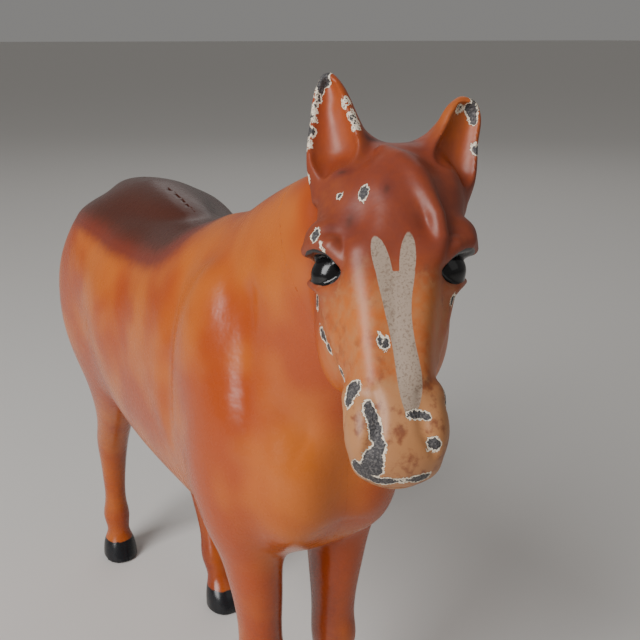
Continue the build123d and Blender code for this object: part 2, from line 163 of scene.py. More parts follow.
lean = math.radians(horse["neckLean"])
neckUp = np.array([0, -math.cos(lean), math.sin(lean)])
neckOver = np.array([0, math.sin(lean), math.cos(lean)])
neckFoot = np.array([0, -17 - middleY, 126.0])
neckRows = [(np.array([0, y - middleY, z]) - neckFoot, w, d) for y, z, w, d in horse["neck"]]
neckKnots = [float(c @ neckUp) for c, w, d in neckRows]
neckAt = [splineOf(neckKnots, [float(c @ neckOver) for c, w, d in neckRows]),
          splineOf(neckKnots, [w for c, w, d in neckRows]), splineOf(neckKnots, [d for c, w, d in neckRows])]


def neckField(p, low=-12.0, high=70.0):
    q = p - neckFoot
    t, v = q @ neckUp, q @ neckOver
    centre, wide, deep = (f(t) for f in neckAt)
    d = oval(p[:, 0], v - centre, wide, deep, 2.1)
    return carve(d, -np.maximum(low - t, t - high), 8)


def legField(p, side, front):
    rows = horse["frontLeg"] if front else horse["hindLeg"]
    stride = 0 if front else horse["hindFootY"][side] - rows[-1][3]
    table = []
    for r in rows:
        z, x, y, rx, ry = r if front else (r[0], r[2], r[3] + r[1] * stride, r[4], r[5])
        table.append((z, x, y + (horse["frontFootY"] if front else 0) - middleY, rx, ry))
    table = table[::-1]
    z = p[:, 2]
    x, y, rx, ry = (splineOf([t[0] for t in table], [t[i] for t in table])(z) for i in (1, 2, 3, 4))
    d = oval(p[:, 0] - side * x, p[:, 1] - y, rx, ry, 2.15)
    d = carve(d, -(z - table[-1][0]), 6)
    return np.maximum(d, -z)


muscles = [
    # centre, radii, softness; each is mirrored to the other side
    ((9, -55, 112), (9, 9, 15), 11),           # breast
    ((17.5, -36, 112), (8.4, 14, 25), 10),     # shoulder
    ((16, -28, 138), (8, 11, 20), 10),         # shoulder blade
    ((17, 46, 128), (12.5, 20, 24), 12),       # flank
    ((15.5, 70, 138), (13.5, 24, 20), 12),     # croup
    ((17, 88, 118), (12, 17, 26), 12),         # buttock
]


def bodyOutline(p):
    # barrel, neck, legs and muscles as one soft form
    d = join(trunkField(p), neckField(p), 16)
    for centre, radii, soft in muscles:
        for side in (-1, 1):
            near = blob(p, (side * centre[0], centre[1] - middleY, centre[2]), radii)
            d = join(d, near, soft)
    d = join(d, blob(p, (0, -12 - middleY, 158), (5, 17, 7)), 12)     # withers
    d = join(d, blob(p, (0, 66 - middleY, 159), (11, 34, 5.5)), 12)   # loin
    # groove between the breast muscles and the hollow above each foreleg
    groove = [(0, -70 - middleY, 112), (0, -68 - middleY, 100), (0, -60 - middleY, 92)]
    d = carve(d, rope(p, groove, [1.2, 1.8, 1.4]), 5)
    for side in (-1, 1):
        # hollows behind and in front of the shoulder
        d = carve(d, rope(p, [(side * 20, -12 - middleY, 158), (side * 27.6, -13 - middleY, 135),
                              (side * 28, -12 - middleY, 108)], [0.5, 2.2, 1.0]), 9)
        d = carve(d, rope(p, [(side * 17, -45 - middleY, 156), (side * 20.5, -50 - middleY, 136),
                              (side * 22, -56 - middleY, 118)], [0.8, 1.8, 0.8]), 8)
        d = join(d, legField(p, side, True), 9)
        d = join(d, legField(p, side, False), 9)
        kneeY = horse["frontFootY"] - middleY
        d = join(d, blob(p, (side * 11, kneeY - 4.6, 53), (4.2, 3.4, 6)), 3)
        d = join(d, blob(p, (side * 11, kneeY + 3.6, 17), (3.6, 4, 4)), 3)
    return np.maximum(d, -p[:, 2])


def slab(p, low, high):
    low, high = np.array(low, float), np.array(high, float)
    return np.maximum(low - p, p - high).max(1)


trap = {"halfX": 12.45, "front": -8.05, "back": 27.05, "inset": 1.9, "openX": 10.3, "openFront": -5.5,
        "openBack": 24.5, "collarTop": 90.6, "hingeY": -11.2, "hingeZ": 83.6, "notchX": 6.95}


def trapSeat(p):
    m = middleY
    box = slab(p, (-trap["halfX"], trap["front"] - m, 60), (trap["halfX"], trap["back"] - m, 95))
    seat = np.maximum(box, -(trunkField(p) + trap["inset"]))
    way = slab(p, (-trap["openX"], trap["openFront"] - m, 60), (trap["openX"], trap["openBack"] - m, 92))
    notch = slab(p, (-trap["notchX"], trap["hingeY"] - 4.2 - m, 60),
                 (trap["notchX"], trap["openFront"] + 0.5 - m, 85.8))
    return np.minimum(np.minimum(seat, way), notch)


def hollow(p):
    inner = join(trunkField(p), neckField(p, -12, 44), 10) + horse["wall"]
    inner = np.maximum(inner, np.maximum(-54 - middleY - p[:, 1], p[:, 1] - (96 - middleY)))
    collar = slab(p, (-13.3, -18.2 - middleY, 76), (13.3, 30.5 - middleY, trap["collarTop"]))
    return np.maximum(inner, -collar)


jointY, jointZ, jointLean = horse["jointAt"]
jointPoint = np.array([0, jointY - middleY, jointZ])
jointNormal = np.array([0, -math.cos(math.radians(jointLean)), math.sin(math.radians(jointLean))])


def jointPlane(p):
    return (p - jointPoint) @ jointNormal


# the head, in its own axes: a down the face, l to the horse's left, o out of the face
poll = np.array([-1.8, -81.0 - middleY, 191.2])
turn, dip = math.radians(25.5), math.radians(51.0)
ahead = np.array([-math.sin(turn), -math.cos(turn), 0.0])
headDown = ahead * math.cos(dip) + np.array([0, 0, -math.sin(dip)])
headLeft = np.array([math.cos(turn), -math.sin(turn), 0.0])
headOut = np.cross(headDown, headLeft)
headAxes = np.array([headDown, headLeft, headOut])

skull = [
    # a, front, back, half width, squareness, centre to the left
    (-6, -7.5, -16, 5, 2.0, 2.0), (-3, -4.0, -21, 8.8, 2.0, 1.8), (2, 0.0, -24.5, 11, 2.1, 1.5),
    (7, 2.0, -27, 12.4, 2.2, 1.0), (12, 2.9, -29, 13.2, 2.3, 0.4), (18, 3.0, -29.5, 13.0, 2.4, -0.1),
    (25, 2.4, -28, 11.6, 2.5, -0.8), (32, 1.7, -24.5, 9.7, 2.5, -1.1), (39, 0.9, -19.5, 8.2, 2.5, -1.3),
    (46, 0.6, -16.5, 7.7, 2.4, -1.1), (51, 0.5, -15.6, 8.2, 2.3, -1.0), (55, -0.6, -14.6, 7.8, 2.2, -1.0),
    (58, -3.0, -13.0, 6.0, 2.0, -0.9), (59.8, -5.6, -10.4, 2.6, 2.0, -0.9),
]
skullAt = [splineOf([s[0] for s in skull], [s[i] for s in skull]) for i in (1, 2, 3, 4, 5)]
almond = [(0.67, -0.74, 0.1), (0.74, 0.67, 0.0), (-0.07, 0.07, 0.99)]   # long way of the eye first
ears = {
    # root, tip, which way the mouth turns, bluntness of the tip
    -1: {"root": (2.0, -8.2, -8.2), "tip": (-20.6, -10.5, -4.2), "open": -0.42, "blunt": 0.55},
    1: {"root": (3.4, 10.4, -9.4), "tip": (-14.8, 17.0, -4.6), "open": 0.40, "blunt": 1.35},
}
earWide = splineOf([0, .2, .45, .7, .88, 1], [6.2, 6.4, 5.5, 3.9, 2.2, 0.5])
earDeep = splineOf([0, .2, .45, .7, .88, 1], [4.2, 4.6, 3.8, 2.6, 1.6, 0.5])
foreLock = [(-2, -0.5, -2.5), (1.5, 2, -0.5), (5.5, 4.5, 1), (10, 6, 2), (14, 7.5, 2), (18, 8, 1.5),
            (21.5, 7, 0.5)]


def toHead(p):
    return (p - poll) @ headAxes.T


def earAxes(side):
    # the mouth of the ear looks out of the face and to its own side
    ear = ears[side]
    root, up = np.array(ear["root"], float), np.subtract(ear["tip"], ear["root"])
    length = np.linalg.norm(up)
    up = up / length
    mouth = np.array([0.1, ear["open"], 1.0])
    mouth -= (mouth @ up) * up
    mouth /= np.linalg.norm(mouth)
    return root, up, length, np.cross(mouth, up), mouth


def earRim(side, share, outward):
    # a place on the rim at this share of the ear's height; outward is 1 on the outer rim, -1 on the inner
    root, up, length, across, mouth = earAxes(side)
    out = -side * outward * across * (earWide(share) - 0.8)
    return root + up * length * share + out + mouth * earDeep(share) * 0.35


def earField(q, side):
    root, up, length, across, mouth = earAxes(side)
    d = q - root
    w, u, v = (d @ up) / length, d @ across, d @ mouth
    ws = np.clip(w, 0, 1)
    blunt = ears[side]["blunt"] * fade(ws, 0.55, 0.95)
    wide, deep = earWide(ws) + blunt, earDeep(ws) + blunt * 0.6
    shell = carve(oval(u, v, wide, deep), -np.maximum(-(w + 0.12), w - 1) * length, 1.4)
    opening = fade(ws, -0.12, 0.32)
    reach = np.maximum(deep * 0.95 * opening, 0.2)
    cup = oval(u, v - deep * 0.86, np.maximum((wide - 1.2) * (0.35 + 0.65 * opening), 0.2), reach)
    cup = carve(cup, -np.maximum(0.0 - w, w - 0.94) * length, 2.5)
    return carve(shell, cup, 1.5)


def headField(p):
    # only worked out near the head
    far = np.linalg.norm(p - (poll + 26 * headDown - 10 * headOut), axis=1)
    out = far - 40.0
    close = far < 62
    if close.any():
        out[close] = headNear(p[close])
    return out


def headNear(p):
    q = toHead(p)
    a, l, o = q.T
    front, back, wide, power, middle = (f(a) for f in skullAt)
    centre, deep = (front + back) / 2, (front - back) / 2
    d = oval(l - middle, o - centre, wide, deep, power)
    d = carve(d, -np.maximum(-6.0 - a, a - 59.8), 3)
    drift = skullAt[4](a)
    mirror = np.stack([a, np.abs(l - drift), o], 1)      # both sides at once, about the drifting centre
    d = join(d, blob(mirror, (27.5, 6.2, -18.5), (12.5, 6.4, 10)), 6)         # cheek
    d = join(d, blob(mirror, (6.0, 9.6, -9.0), (8.0, 3.8, 6.4)), 6)          # temple
    d = join(d, blob(mirror, (15.0, 11.9, -5.6), (3.6, 3.9, 4.6)), 5)         # brow
    d = carve(d, blob(mirror, (12.5, 7.2, 3.4), (5.0, 2.6, 2.4)), 5)          # hollow above the brow
    d = join(d, rope(mirror, [(25, 9.6, -7.5), (31, 8.4, -8.2), (37, 6.8, -7.6)], [2.2, 1.8, 1.0]), 5)
    d = join(d, rope(mirror, [(20.6, 5.6, -0.6), (30, 4.2, -0.9), (42, 3.4, -1.5)], [2.4, 1.9, 1.5]), 5)
    # socket, ball and lids of each eye
    d = carve(d, blob(mirror, (21.6, 12.4, -1.4), (4.2, 5.0, 3.6), almond), 2.0)
    d = join(d, blob(mirror, (20.9, 10.2, -7.1), (3.8, 4.0, 4.0)), 0.5)
    d = join(d, rope(mirror, [(23.6, 7.4, -1.6), (21.0, 8.6, -1.0), (18.4, 10.8, -1.2), (16.8, 13.4, -3.0),
                              (16.6, 15.2, -6.4)], [0.6, 1.4, 1.8, 1.8, 1.1]), 1.8)
    d = join(d, rope(mirror, [(23.6, 7.4, -1.6), (25.4, 9.4, -3.4), (24.8, 12.0, -6.0), (22, 14.2, -9.0)],
                     [0.6, 0.8, 0.8, 0.6]), 1.6)
    # forelock swept to the left side of the forehead
    lock = rope(q, foreLock, [1.0, 1.5, 1.8, 1.7, 1.5, 1.2, 0.6])
    d = join(d, lock, 3.4)
    d = join(d, blob(q, (8, 1.6, -1.6), (8, 6.0, 3.4)), 5)
    # crest between the ears
    d = join(d, blob(q, (-2.6, 3.0, -8.8), (3.2, 8.0, 5.2)), 5)
    # skin drawn up from the crest to each ear
    d = join(d, rope(q, [(-13.0, -7.4, -6.2), (-8.0, -5.0, -8.0), (-3.6, -1.6, -8.6)], [1.2, 2.4, 3.4]), 3.5)
    d = join(d, rope(q, [(-11.6, 13.4, -7.2), (-7.4, 10.4, -8.8), (-3.6, 6.4, -9.4)], [1.4, 2.6, 3.6]), 3.5)
    # nostril wings, nostrils, mouth and chin
    d = join(d, blob(mirror, (49.8, 5.7, -4.8), (6.2, 3.2, 4.6)), 2.2)
    d = join(d, blob(mirror, (45.0, 6.3, -5.0), (3.0, 2.5, 3.2)), 2.0)
    d = carve(d, rope(mirror, [(45.4, 3.9, 0.4), (48.8, 3.4, 0.9), (52.6, 3.9, 0.4), (55.6, 5.8, -2.2)],
                      [0.3, 0.7, 0.8, 0.3]), 1.6)
    d = carve(d, rope(mirror, [(47.2, 8.4, -3.6), (49.4, 9.0, -4.6), (51.6, 8.6, -6.4)], [0.5, 1.0, 0.5]), 1.2)
    d = join(d, blob(q, (54.6, -0.9, -12.4), (4.4, 5.2, 4.0)), 3)
    d = carve(d, rope(mirror, [(59.3, 0, -8.6), (58.0, 4.2, -9.0), (54.8, 7.0, -9.8), (50.5, 8.4, -11.4)],
                      [0.7, 0.7, 0.6, 0.3]), 1.2)
    for side in (-1, 1):
        d = join(d, earField(q, side), 3.0)
    return d


tailRows = [(104, 138, 3.6, 4.2), (110, 137, 4.2, 4.5), (114.5, 128, 5, 4.6), (115.5, 112, 6.2, 5),
            (115.5, 95, 6.8, 5.3), (115, 80, 5.8, 4.8), (115.3, 70, 4, 3.6), (115.8, 62, 2, 2)]


def tailField(p):
    down = tailRows[::-1]
    z = [r[1] for r in down]
    at = [splineOf(z, [r[i] for r in down]) for i in (0, 2, 3)]
    y, rx, ry = (f(p[:, 2]) for f in at)
    v = p[:, 1] - (y - middleY)
    d = oval(p[:, 0], v, rx, ry)
    d = carve(d, -np.maximum(62 - p[:, 2], p[:, 2] - 139), 7)
    dock = [(0, 96 - middleY, 137), (0, 107 - middleY, 137), (0, 113 - middleY, 130)]
    d = join(d, rope(p, dock, [3.2, 3.8, 3.8]), 3)
    angle = np.arctan2(v, p[:, 0])
    strands = np.sin(angle * 13 + p[:, 2] * 0.06) * 0.6 + np.sin(angle * 29 - p[:, 2] * 0.11 + 1) * 0.4
    depth = 0.55 * fade(p[:, 2], 62, 76) * (1 - fade(p[:, 2], 122, 134))
    return np.maximum(d + strands * depth * 0.5, -(bodyOutline(p) - 0.12))


# from form to mesh
def sample(field, low, high, step):
    # values on a grid, worked out only in blocks near the skin
    low, high = np.array(low, float), np.array(high, float)
    size = np.ceil((high - low) / step).astype(int) + 2
    block = 8
    parts = (size + block - 1) // block
    at = np.stack(np.meshgrid(*[np.arange(n) for n in parts], indexing="ij"), -1).reshape(-1, 3)
    coarse = field(low + (at * block + (block - 1) / 2) * step).reshape(parts)
    keep = np.abs(coarse) < block * step * 1.5 + 3
    values = coarse.copy()
    for axis in range(3):
        values = values.repeat(block, axis)
        keep = keep.repeat(block, axis)
    values = values[:size[0], :size[1], :size[2]]
    wanted = np.argwhere(keep[:size[0], :size[1], :size[2]])
    for start in range(0, len(wanted), 400000):
        part = wanted[start:start + 400000]
        values[tuple(part.T)] = field(low + part * step)
    return values, low


def net(values, low, step):
    # one vertex in each cell that the skin crosses, one quad round each crossed edge
    inside = values < 0
    n = inside.shape
    count = sum(inside[i:n[0] - 1 + i, j:n[1] - 1 + j, k:n[2] - 1 + k].astype(np.int8)
                for i in (0, 1) for j in (0, 1) for k in (0, 1))
    cells = np.argwhere((count > 0) & (count < 8))
    ids = np.full(count.shape, -1, np.int64)
    ids[tuple(cells.T)] = np.arange(len(cells))
    total, hits = np.zeros((len(cells), 3)), np.zeros(len(cells))
    for axis in range(3):
        others = [m for m in range(3) if m != axis]
        for u in (0, 1):
            for v in (0, 1):
                start = np.zeros(3, int)
                start[others[0]], start[others[1]] = u, v
                end = start.copy()
                end[axis] = 1
                a, b = values[tuple((cells + start).T)], values[tuple((cells + end).T)]
                crossed = (a < 0) != (b < 0)
                place = np.tile(start, (len(cells), 1)).astype(float)
                place[crossed, axis] += (a[crossed] / (a[crossed] - b[crossed]))
                total[crossed] += place[crossed]
                hits[crossed] += 1
    points = low + step * (cells + total / hits[:, None])
    quads = []
    for axis in range(3):
        o1, o2 = [(1, 2), (2, 0), (0, 1)][axis]
        first, second = [slice(1, -1)] * 3, [slice(1, -1)] * 3
        first[axis], second[axis] = slice(0, -1), slice(1, None)
        e0, e1 = inside[tuple(first)], inside[tuple(second)]
        edge = np.argwhere(e0 != e1)
        base = edge + 1
        base[:, axis] -= 1
        ring = []
        for d1, d2 in ((1, 1), (0, 1), (0, 0), (1, 0)):
            cell = base.copy()
            cell[:, o1] -= d1
            cell[:, o2] -= d2
            ring.append(ids[tuple(cell.T)])
        ring = np.stack(ring, 1)
        turned = ~e0[tuple(edge.T)]
        ring[turned] = ring[turned][:, ::-1]
        quads.append(ring)
    return points, np.concatenate(quads)


def slope(field, p):
    eps = 0.04
    out = np.empty_like(p)
    for axis in range(3):
        step = np.zeros(3)
        step[axis] = eps
        out[:, axis] = (field(p + step) - field(p - step)) / (2 * eps)
    return out


def pull(points, field, rows):
    if len(rows) == 0:
        return
    p = points[rows]
    g = slope(field, p)
    move = field(p)[:, None] * g / np.maximum((g ** 2).sum(1), 0.05)[:, None]
    size = np.linalg.norm(move, axis=1)
    move *= np.minimum(1, 0.7 / np.maximum(size, 1e-9))[:, None]
    points[rows] -= move


def settle(points, fields, reach, rounds):
    # onto the skin, and onto both faces where two meet in an edge
    for _ in range(rounds):
        values = np.stack([f(points) for f in fields])
        near = values > values.max(0) - reach
        for field, rows in zip(fields, near):
            pull(points, field, np.nonzero(rows)[0])


def relax(points, quads, share):
    ends = np.concatenate([quads, np.roll(quads, -1, 1)])
    a, b = ends[:len(quads)].ravel(), ends[len(quads):].ravel()
    count = np.bincount(a, minlength=len(points)) + np.bincount(b, minlength=len(points))
    mean = np.stack([np.bincount(a, points[b, i], len(points)) + np.bincount(b, points[a, i], len(points))
                     for i in range(3)], 1) / np.maximum(count, 1)[:, None]
    return points + (mean - points) * share


def skinOf(fields, low, high, step, rounds=3):
    def whole(p):
        return np.max([f(p) for f in fields], axis=0)
    points, quads = net(*sample(whole, low, high, step), step)
    reach = step * 0.55
    for turnNo in range(rounds):
        points = relax(points, quads, 0.5)
        settle(points, fields, reach, 1)
    settle(points, fields, reach * 0.6, 3)
    return points, quads


def meshPiece(name, points, quads, sharp=40):
    mesh = bpy.data.meshes.new(name)
    mesh.from_pydata((points / 1000).tolist(), [], quads.tolist())
    mesh.validate()
    mesh.shade_smooth()
    mesh.set_sharp_from_angle(angle=math.radians(sharp))
    piece = bpy.data.objects.new(name, mesh)
    bpy.context.scene.collection.objects.link(piece)
    return piece


def paintValue(piece, name, values):
    layer = piece.data.attributes.new(name, "FLOAT", "POINT")
    layer.data.foreach_set("value", np.asarray(values, np.float32))


# marks on the paint
farAway = 30.0
earWear = {
    # bare metal runs from the tip down the outer rim to this share of the ear, this wide;
    # below it the rims are worn to the primer here and there, with one knock down to the metal
    -1: {"bareTo": 0.86, "bareWide": 1.2, "knock": 0.5, "outer": (0.8, 0.7, 0.6, 0.38, 0.1),
         "inner": (0.68, 0.55, 0.45)},
    1: {"bareTo": 0.80, "bareWide": 1.1, "knock": 0.55, "outer": (), "inner": (0.86,)},
}
muzzleWear = [
    # strokes of bare metal where the muzzle has rubbed: places down, left and out, then half widths
    ([(44, -8.5, -1.5), (46.5, -9, -2.5)], [1.5, 1.0]),                                  # right nostril wing
    ([(47.5, -6, 0), (51.5, -5, -0.5), (54, -4.5, -1), (57, -5.5, -3.5)], [0.9, 1, 1, 2]),   # down to the lip
    ([(57, -8, -5.5), (59, -5, -6), (59, -1.5, -5), (58.5, 3.5, -5.5)], [1.6, 1.0, 0.5, 0.9]),   # on the lip
    ([(43.5, 7.5, -3.5), (46.5, 8, -4)], [0.6, 0.8]),                                    # left nostril wing
    ([(49.5, 0.5, 0), (49.5, 3.5, 0)], [0.7, 0.5]),                                      # foot of the blaze
    ([(53.5, 4.5, -1.5), (54.5, 4.5, -1.5)], [0.8, 0.8]),                              # beside the left nostril
]
knocks = [
    # down the face, degrees round it to the left, half length, half width
    (9, -23, 1.3, 0.8), (8, -43, 0.4, 0.4),                                              # forehead
    (16, -49, 1.0, 0.6), (18.5, -45, 0.8, 0.4),                                          # right brow
    (24, -90, 1.5, 0.8), (31, -90, 1.6, 0.9), (34, -90, 1.0, 0.8), (39.5, -80, 1.0, 0.6),   # right cheek
    (37, -12, 0.8, 0.4), (37.5, -8, 0.9, 0.5),                                           # beside the blaze
    (27, 60, 1.2, 0.6),                                                                  # left cheek
]
darkSpotsAndShade = [
    # dark spots in the enamel; the two at 14 and 15 down the face are painted shade in the hollow above the
    # right brow: the same values, then strength
    (2.5, -46, 0.7, 1.3, 0.9), (9, -7, 1.6, 0.9, 0.9), (14, -31, 2.4, 1.2, 0.8), (15, -41, 0.8, 0.9, 0.5),
    (51.5, 2, 0.7, 0.7, 0.8), (31.5, 11, 0.7, 0.4, 0.7),
]
# a thin dark line in the paint across the back of the crest, between the ears
crestDarkLine = [(-6, -3.5, -5), (-7, 2, -6.5), (-6.5, 5.5, -6.5)]
headReach = 19.5   # nothing further than this from the middle of the head is skin of the face


def spotField(q, mark):
    # distance in millimetres from the edge of one spot on the skin of the head
    a, degrees, long, wide = mark
    front, back, _, _, middle = (f(q[:, 0]) for f in skullAt)
    left, out = q[:, 1] - middle, q[:, 2] - (front + back) / 2
    radius = np.hypot(left, out)
    v = np.radians(np.degrees(np.arctan2(left, out)) - degrees) * radius
    spot = (np.hypot((q[:, 0] - a) / long, v / wide) - 1) * min(long, wide)
    return np.where(radius < headReach, spot, farAway)


def earMarks(q, side):
    wear = earWear[side]
    tip = np.array(ears[side]["tip"], float)
    rim = [tip, earRim(side, (1 + wear["bareTo"]) / 2, 1), earRim(side, wear["bareTo"], 1)]
    mark = rope(q, rim, [wear["bareWide"], wear["bareWide"], wear["bareWide"] * 0.6])
    mark = np.minimum(mark, blob(q, earRim(side, wear["knock"], 1), (1.4, 0.9, 0.9)))
    for shares, outward in ((wear["outer"], 1), (wear["inner"], -1)):
        for share in shares:
            near = blob(q, earRim(side, share, outward), (1.3, 0.8, 0.8))
            mark = np.minimum(mark, np.maximum(near + 0.1, 0.08))
    return mark


def headMarks(q):
    marks = [spotField(q, mark) for mark in knocks]
    marks += [rope(q, path, widths) for path, widths in muzzleWear]
    marks += [earMarks(q, side) for side in (-1, 1)]
    return np.min(marks, axis=0)


def headTone(q):
    # darker, redder paint over the forehead and ears, dark spots, painted shade in the hollow above the right
    # brow, and a thin dark line across the back of the crest
    forehead = 0.66 * fade(q[:, 0], 35, 19) * fade(q[:, 0], -9, 4)
    tone = (0.12 + forehead + 0.34 * fade(q[:, 0], 4, -8)) * fade(q[:, 2], -24, -13)
    tone += 0.25 * fade(q[:, 0], 2, -5) * fade(q[:, 2], -16, -10) * fade(np.abs(q[:, 1] - 3), 9, 4)
    for a, degrees, long, wide, strong in darkSpotsAndShade:
        near = spotField(q, (a, degrees, long, wide)) / min(long, wide) + 1
        tone += strong * np.exp(-np.clip(near, 0, 8) ** 2)
    return tone + np.exp(-np.clip(rope(q, crestDarkLine, [0.6, 0.6, 0.6]) + 0.6, 0, 8) ** 2 / 0.6)


def blazeMark(q):
    a, l, o = q.T
    down = [18, 24, 30, 39, 47.5, 49.5]
    left = splineOf(down, [-4.5, -4, -3, -1.5, -0.5, 0])
    right = splineOf(down, [3, 3, 2, 2.5, 2.5, 1.5])
    inside = np.maximum(left(a) - l, l - right(a))
    shape = np.maximum(inside, np.maximum(17.6 - a, a - 49.5))
    # the fork: two spindle-shaped prongs with a pointed notch between them
    def prong(ca, cl, half, wide, spin):
        c, n = math.cos(math.radians(spin)), math.sin(math.radians(spin))
        u, v = (a - ca) * c + (l - cl) * n, -(a - ca) * n + (l - cl) * c
        return (np.sqrt((u / half) ** 2 + (v / wide) ** 2) - 1) * wide
    low = np.maximum(shape, 24.8 - a)
    mark = np.minimum(low, np.minimum(prong(23.2, -2.75, 5.0, 1.5, 12), prong(22.8, 1.7, 5.2, 1.4, -6)))
    return np.where(o > -7, mark, farAway)


print("stage: forms defined")


# materials
def addNode(tree, kind, settings=None, inputs=None):
    node = tree.nodes.new(kind)
    for key, value in (settings or {}).items():
        setattr(node, key, value)
    for key, value in (inputs or {}).items():
        socket = node.inputs[key]
        if isinstance(value, bpy.types.NodeSocket):
            tree.links.new(value, socket)
        else:
            socket.default_value = value
    return node


def newMaterial(name):
    material = bpy.data.materials.new(name)
    material.use_nodes = True
    tree = material.node_tree
    tree.nodes.clear()
    out = addNode(tree, "ShaderNodeOutputMaterial")
    shader = addNode(tree, "ShaderNodeBsdfPrincipled")
    tree.links.new(shader.outputs[0], out.inputs[0])
    return material, tree, shader


def maths(tree, what, a, b=0.0, c=0.0, clamp=False):
    inputs = {0: a, 1: b}
    if what in ("MULTIPLY_ADD", "SMOOTH_MIN"):
        inputs[2] = c
    return addNode(tree, "ShaderNodeMath", {"operation": what, "use_clamp": clamp}, inputs).outputs[0]


def step(tree, value, low, high):
    # 0 below low, 1 above high, smooth between
    return addNode(tree, "ShaderNodeMapRange", {"interpolation_type": "SMOOTHSTEP"},
                   {0: value, 1: low, 2: high, 3: 0.0, 4: 1.0}).outputs[0]


def mixed(tree, share, a, b):
    node = addNode(tree, "ShaderNodeMix", {"data_type": "RGBA"})
    for socket, value in zip((node.inputs[0], node.inputs[6], node.inputs[7]), (share, a, b)):
        if isinstance(value, bpy.types.NodeSocket):
            tree.links.new(value, socket)
        else:
            socket.default_value = value
    return node.outputs[2]


def grain(tree, perMm, detail=3.0, rough=0.55, shift=0.0):
    # noise with about this many cells in a millimetre
    place = addNode(tree, "ShaderNodeTexCoord").outputs["Object"]
    if shift:
        moved = {0: place, 1: (shift, shift * 1.7, shift * 0.6)}
        place = addNode(tree, "ShaderNodeVectorMath", {}, moved).outputs[0]
    return addNode(tree, "ShaderNodeTexNoise", {}, {
        "Vector": place, "Scale": perMm * 1000, "Detail": detail, "Roughness": rough}).outputs[0]


def swing(tree, noise, size):
    # a noise turned into a ripple about nothing, so many units from top to bottom
    return maths(tree, "MULTIPLY", maths(tree, "SUBTRACT", noise, 0.5), size)


def attribute(tree, name):
    return addNode(tree, "ShaderNodeAttribute", {"attribute_name": name}).outputs["Fac"]


paint = {
    "enamel": "#A5430F", "enamelWarm": "#BC611C", "enamelDark": "#74301F", "backDark": "#4A2419",
    "muzzle": "#AE7A4E", "muzzleDark": "#7C4A30", "blaze": "#A08C7B", "blazeSpeck": "#75604E",
    "cream": "#E9DCC6",
    "bare": "#4A484A", "bareLight": "#7C7876", "black": "#0D0C0D", "hoof": "#15161A",
}


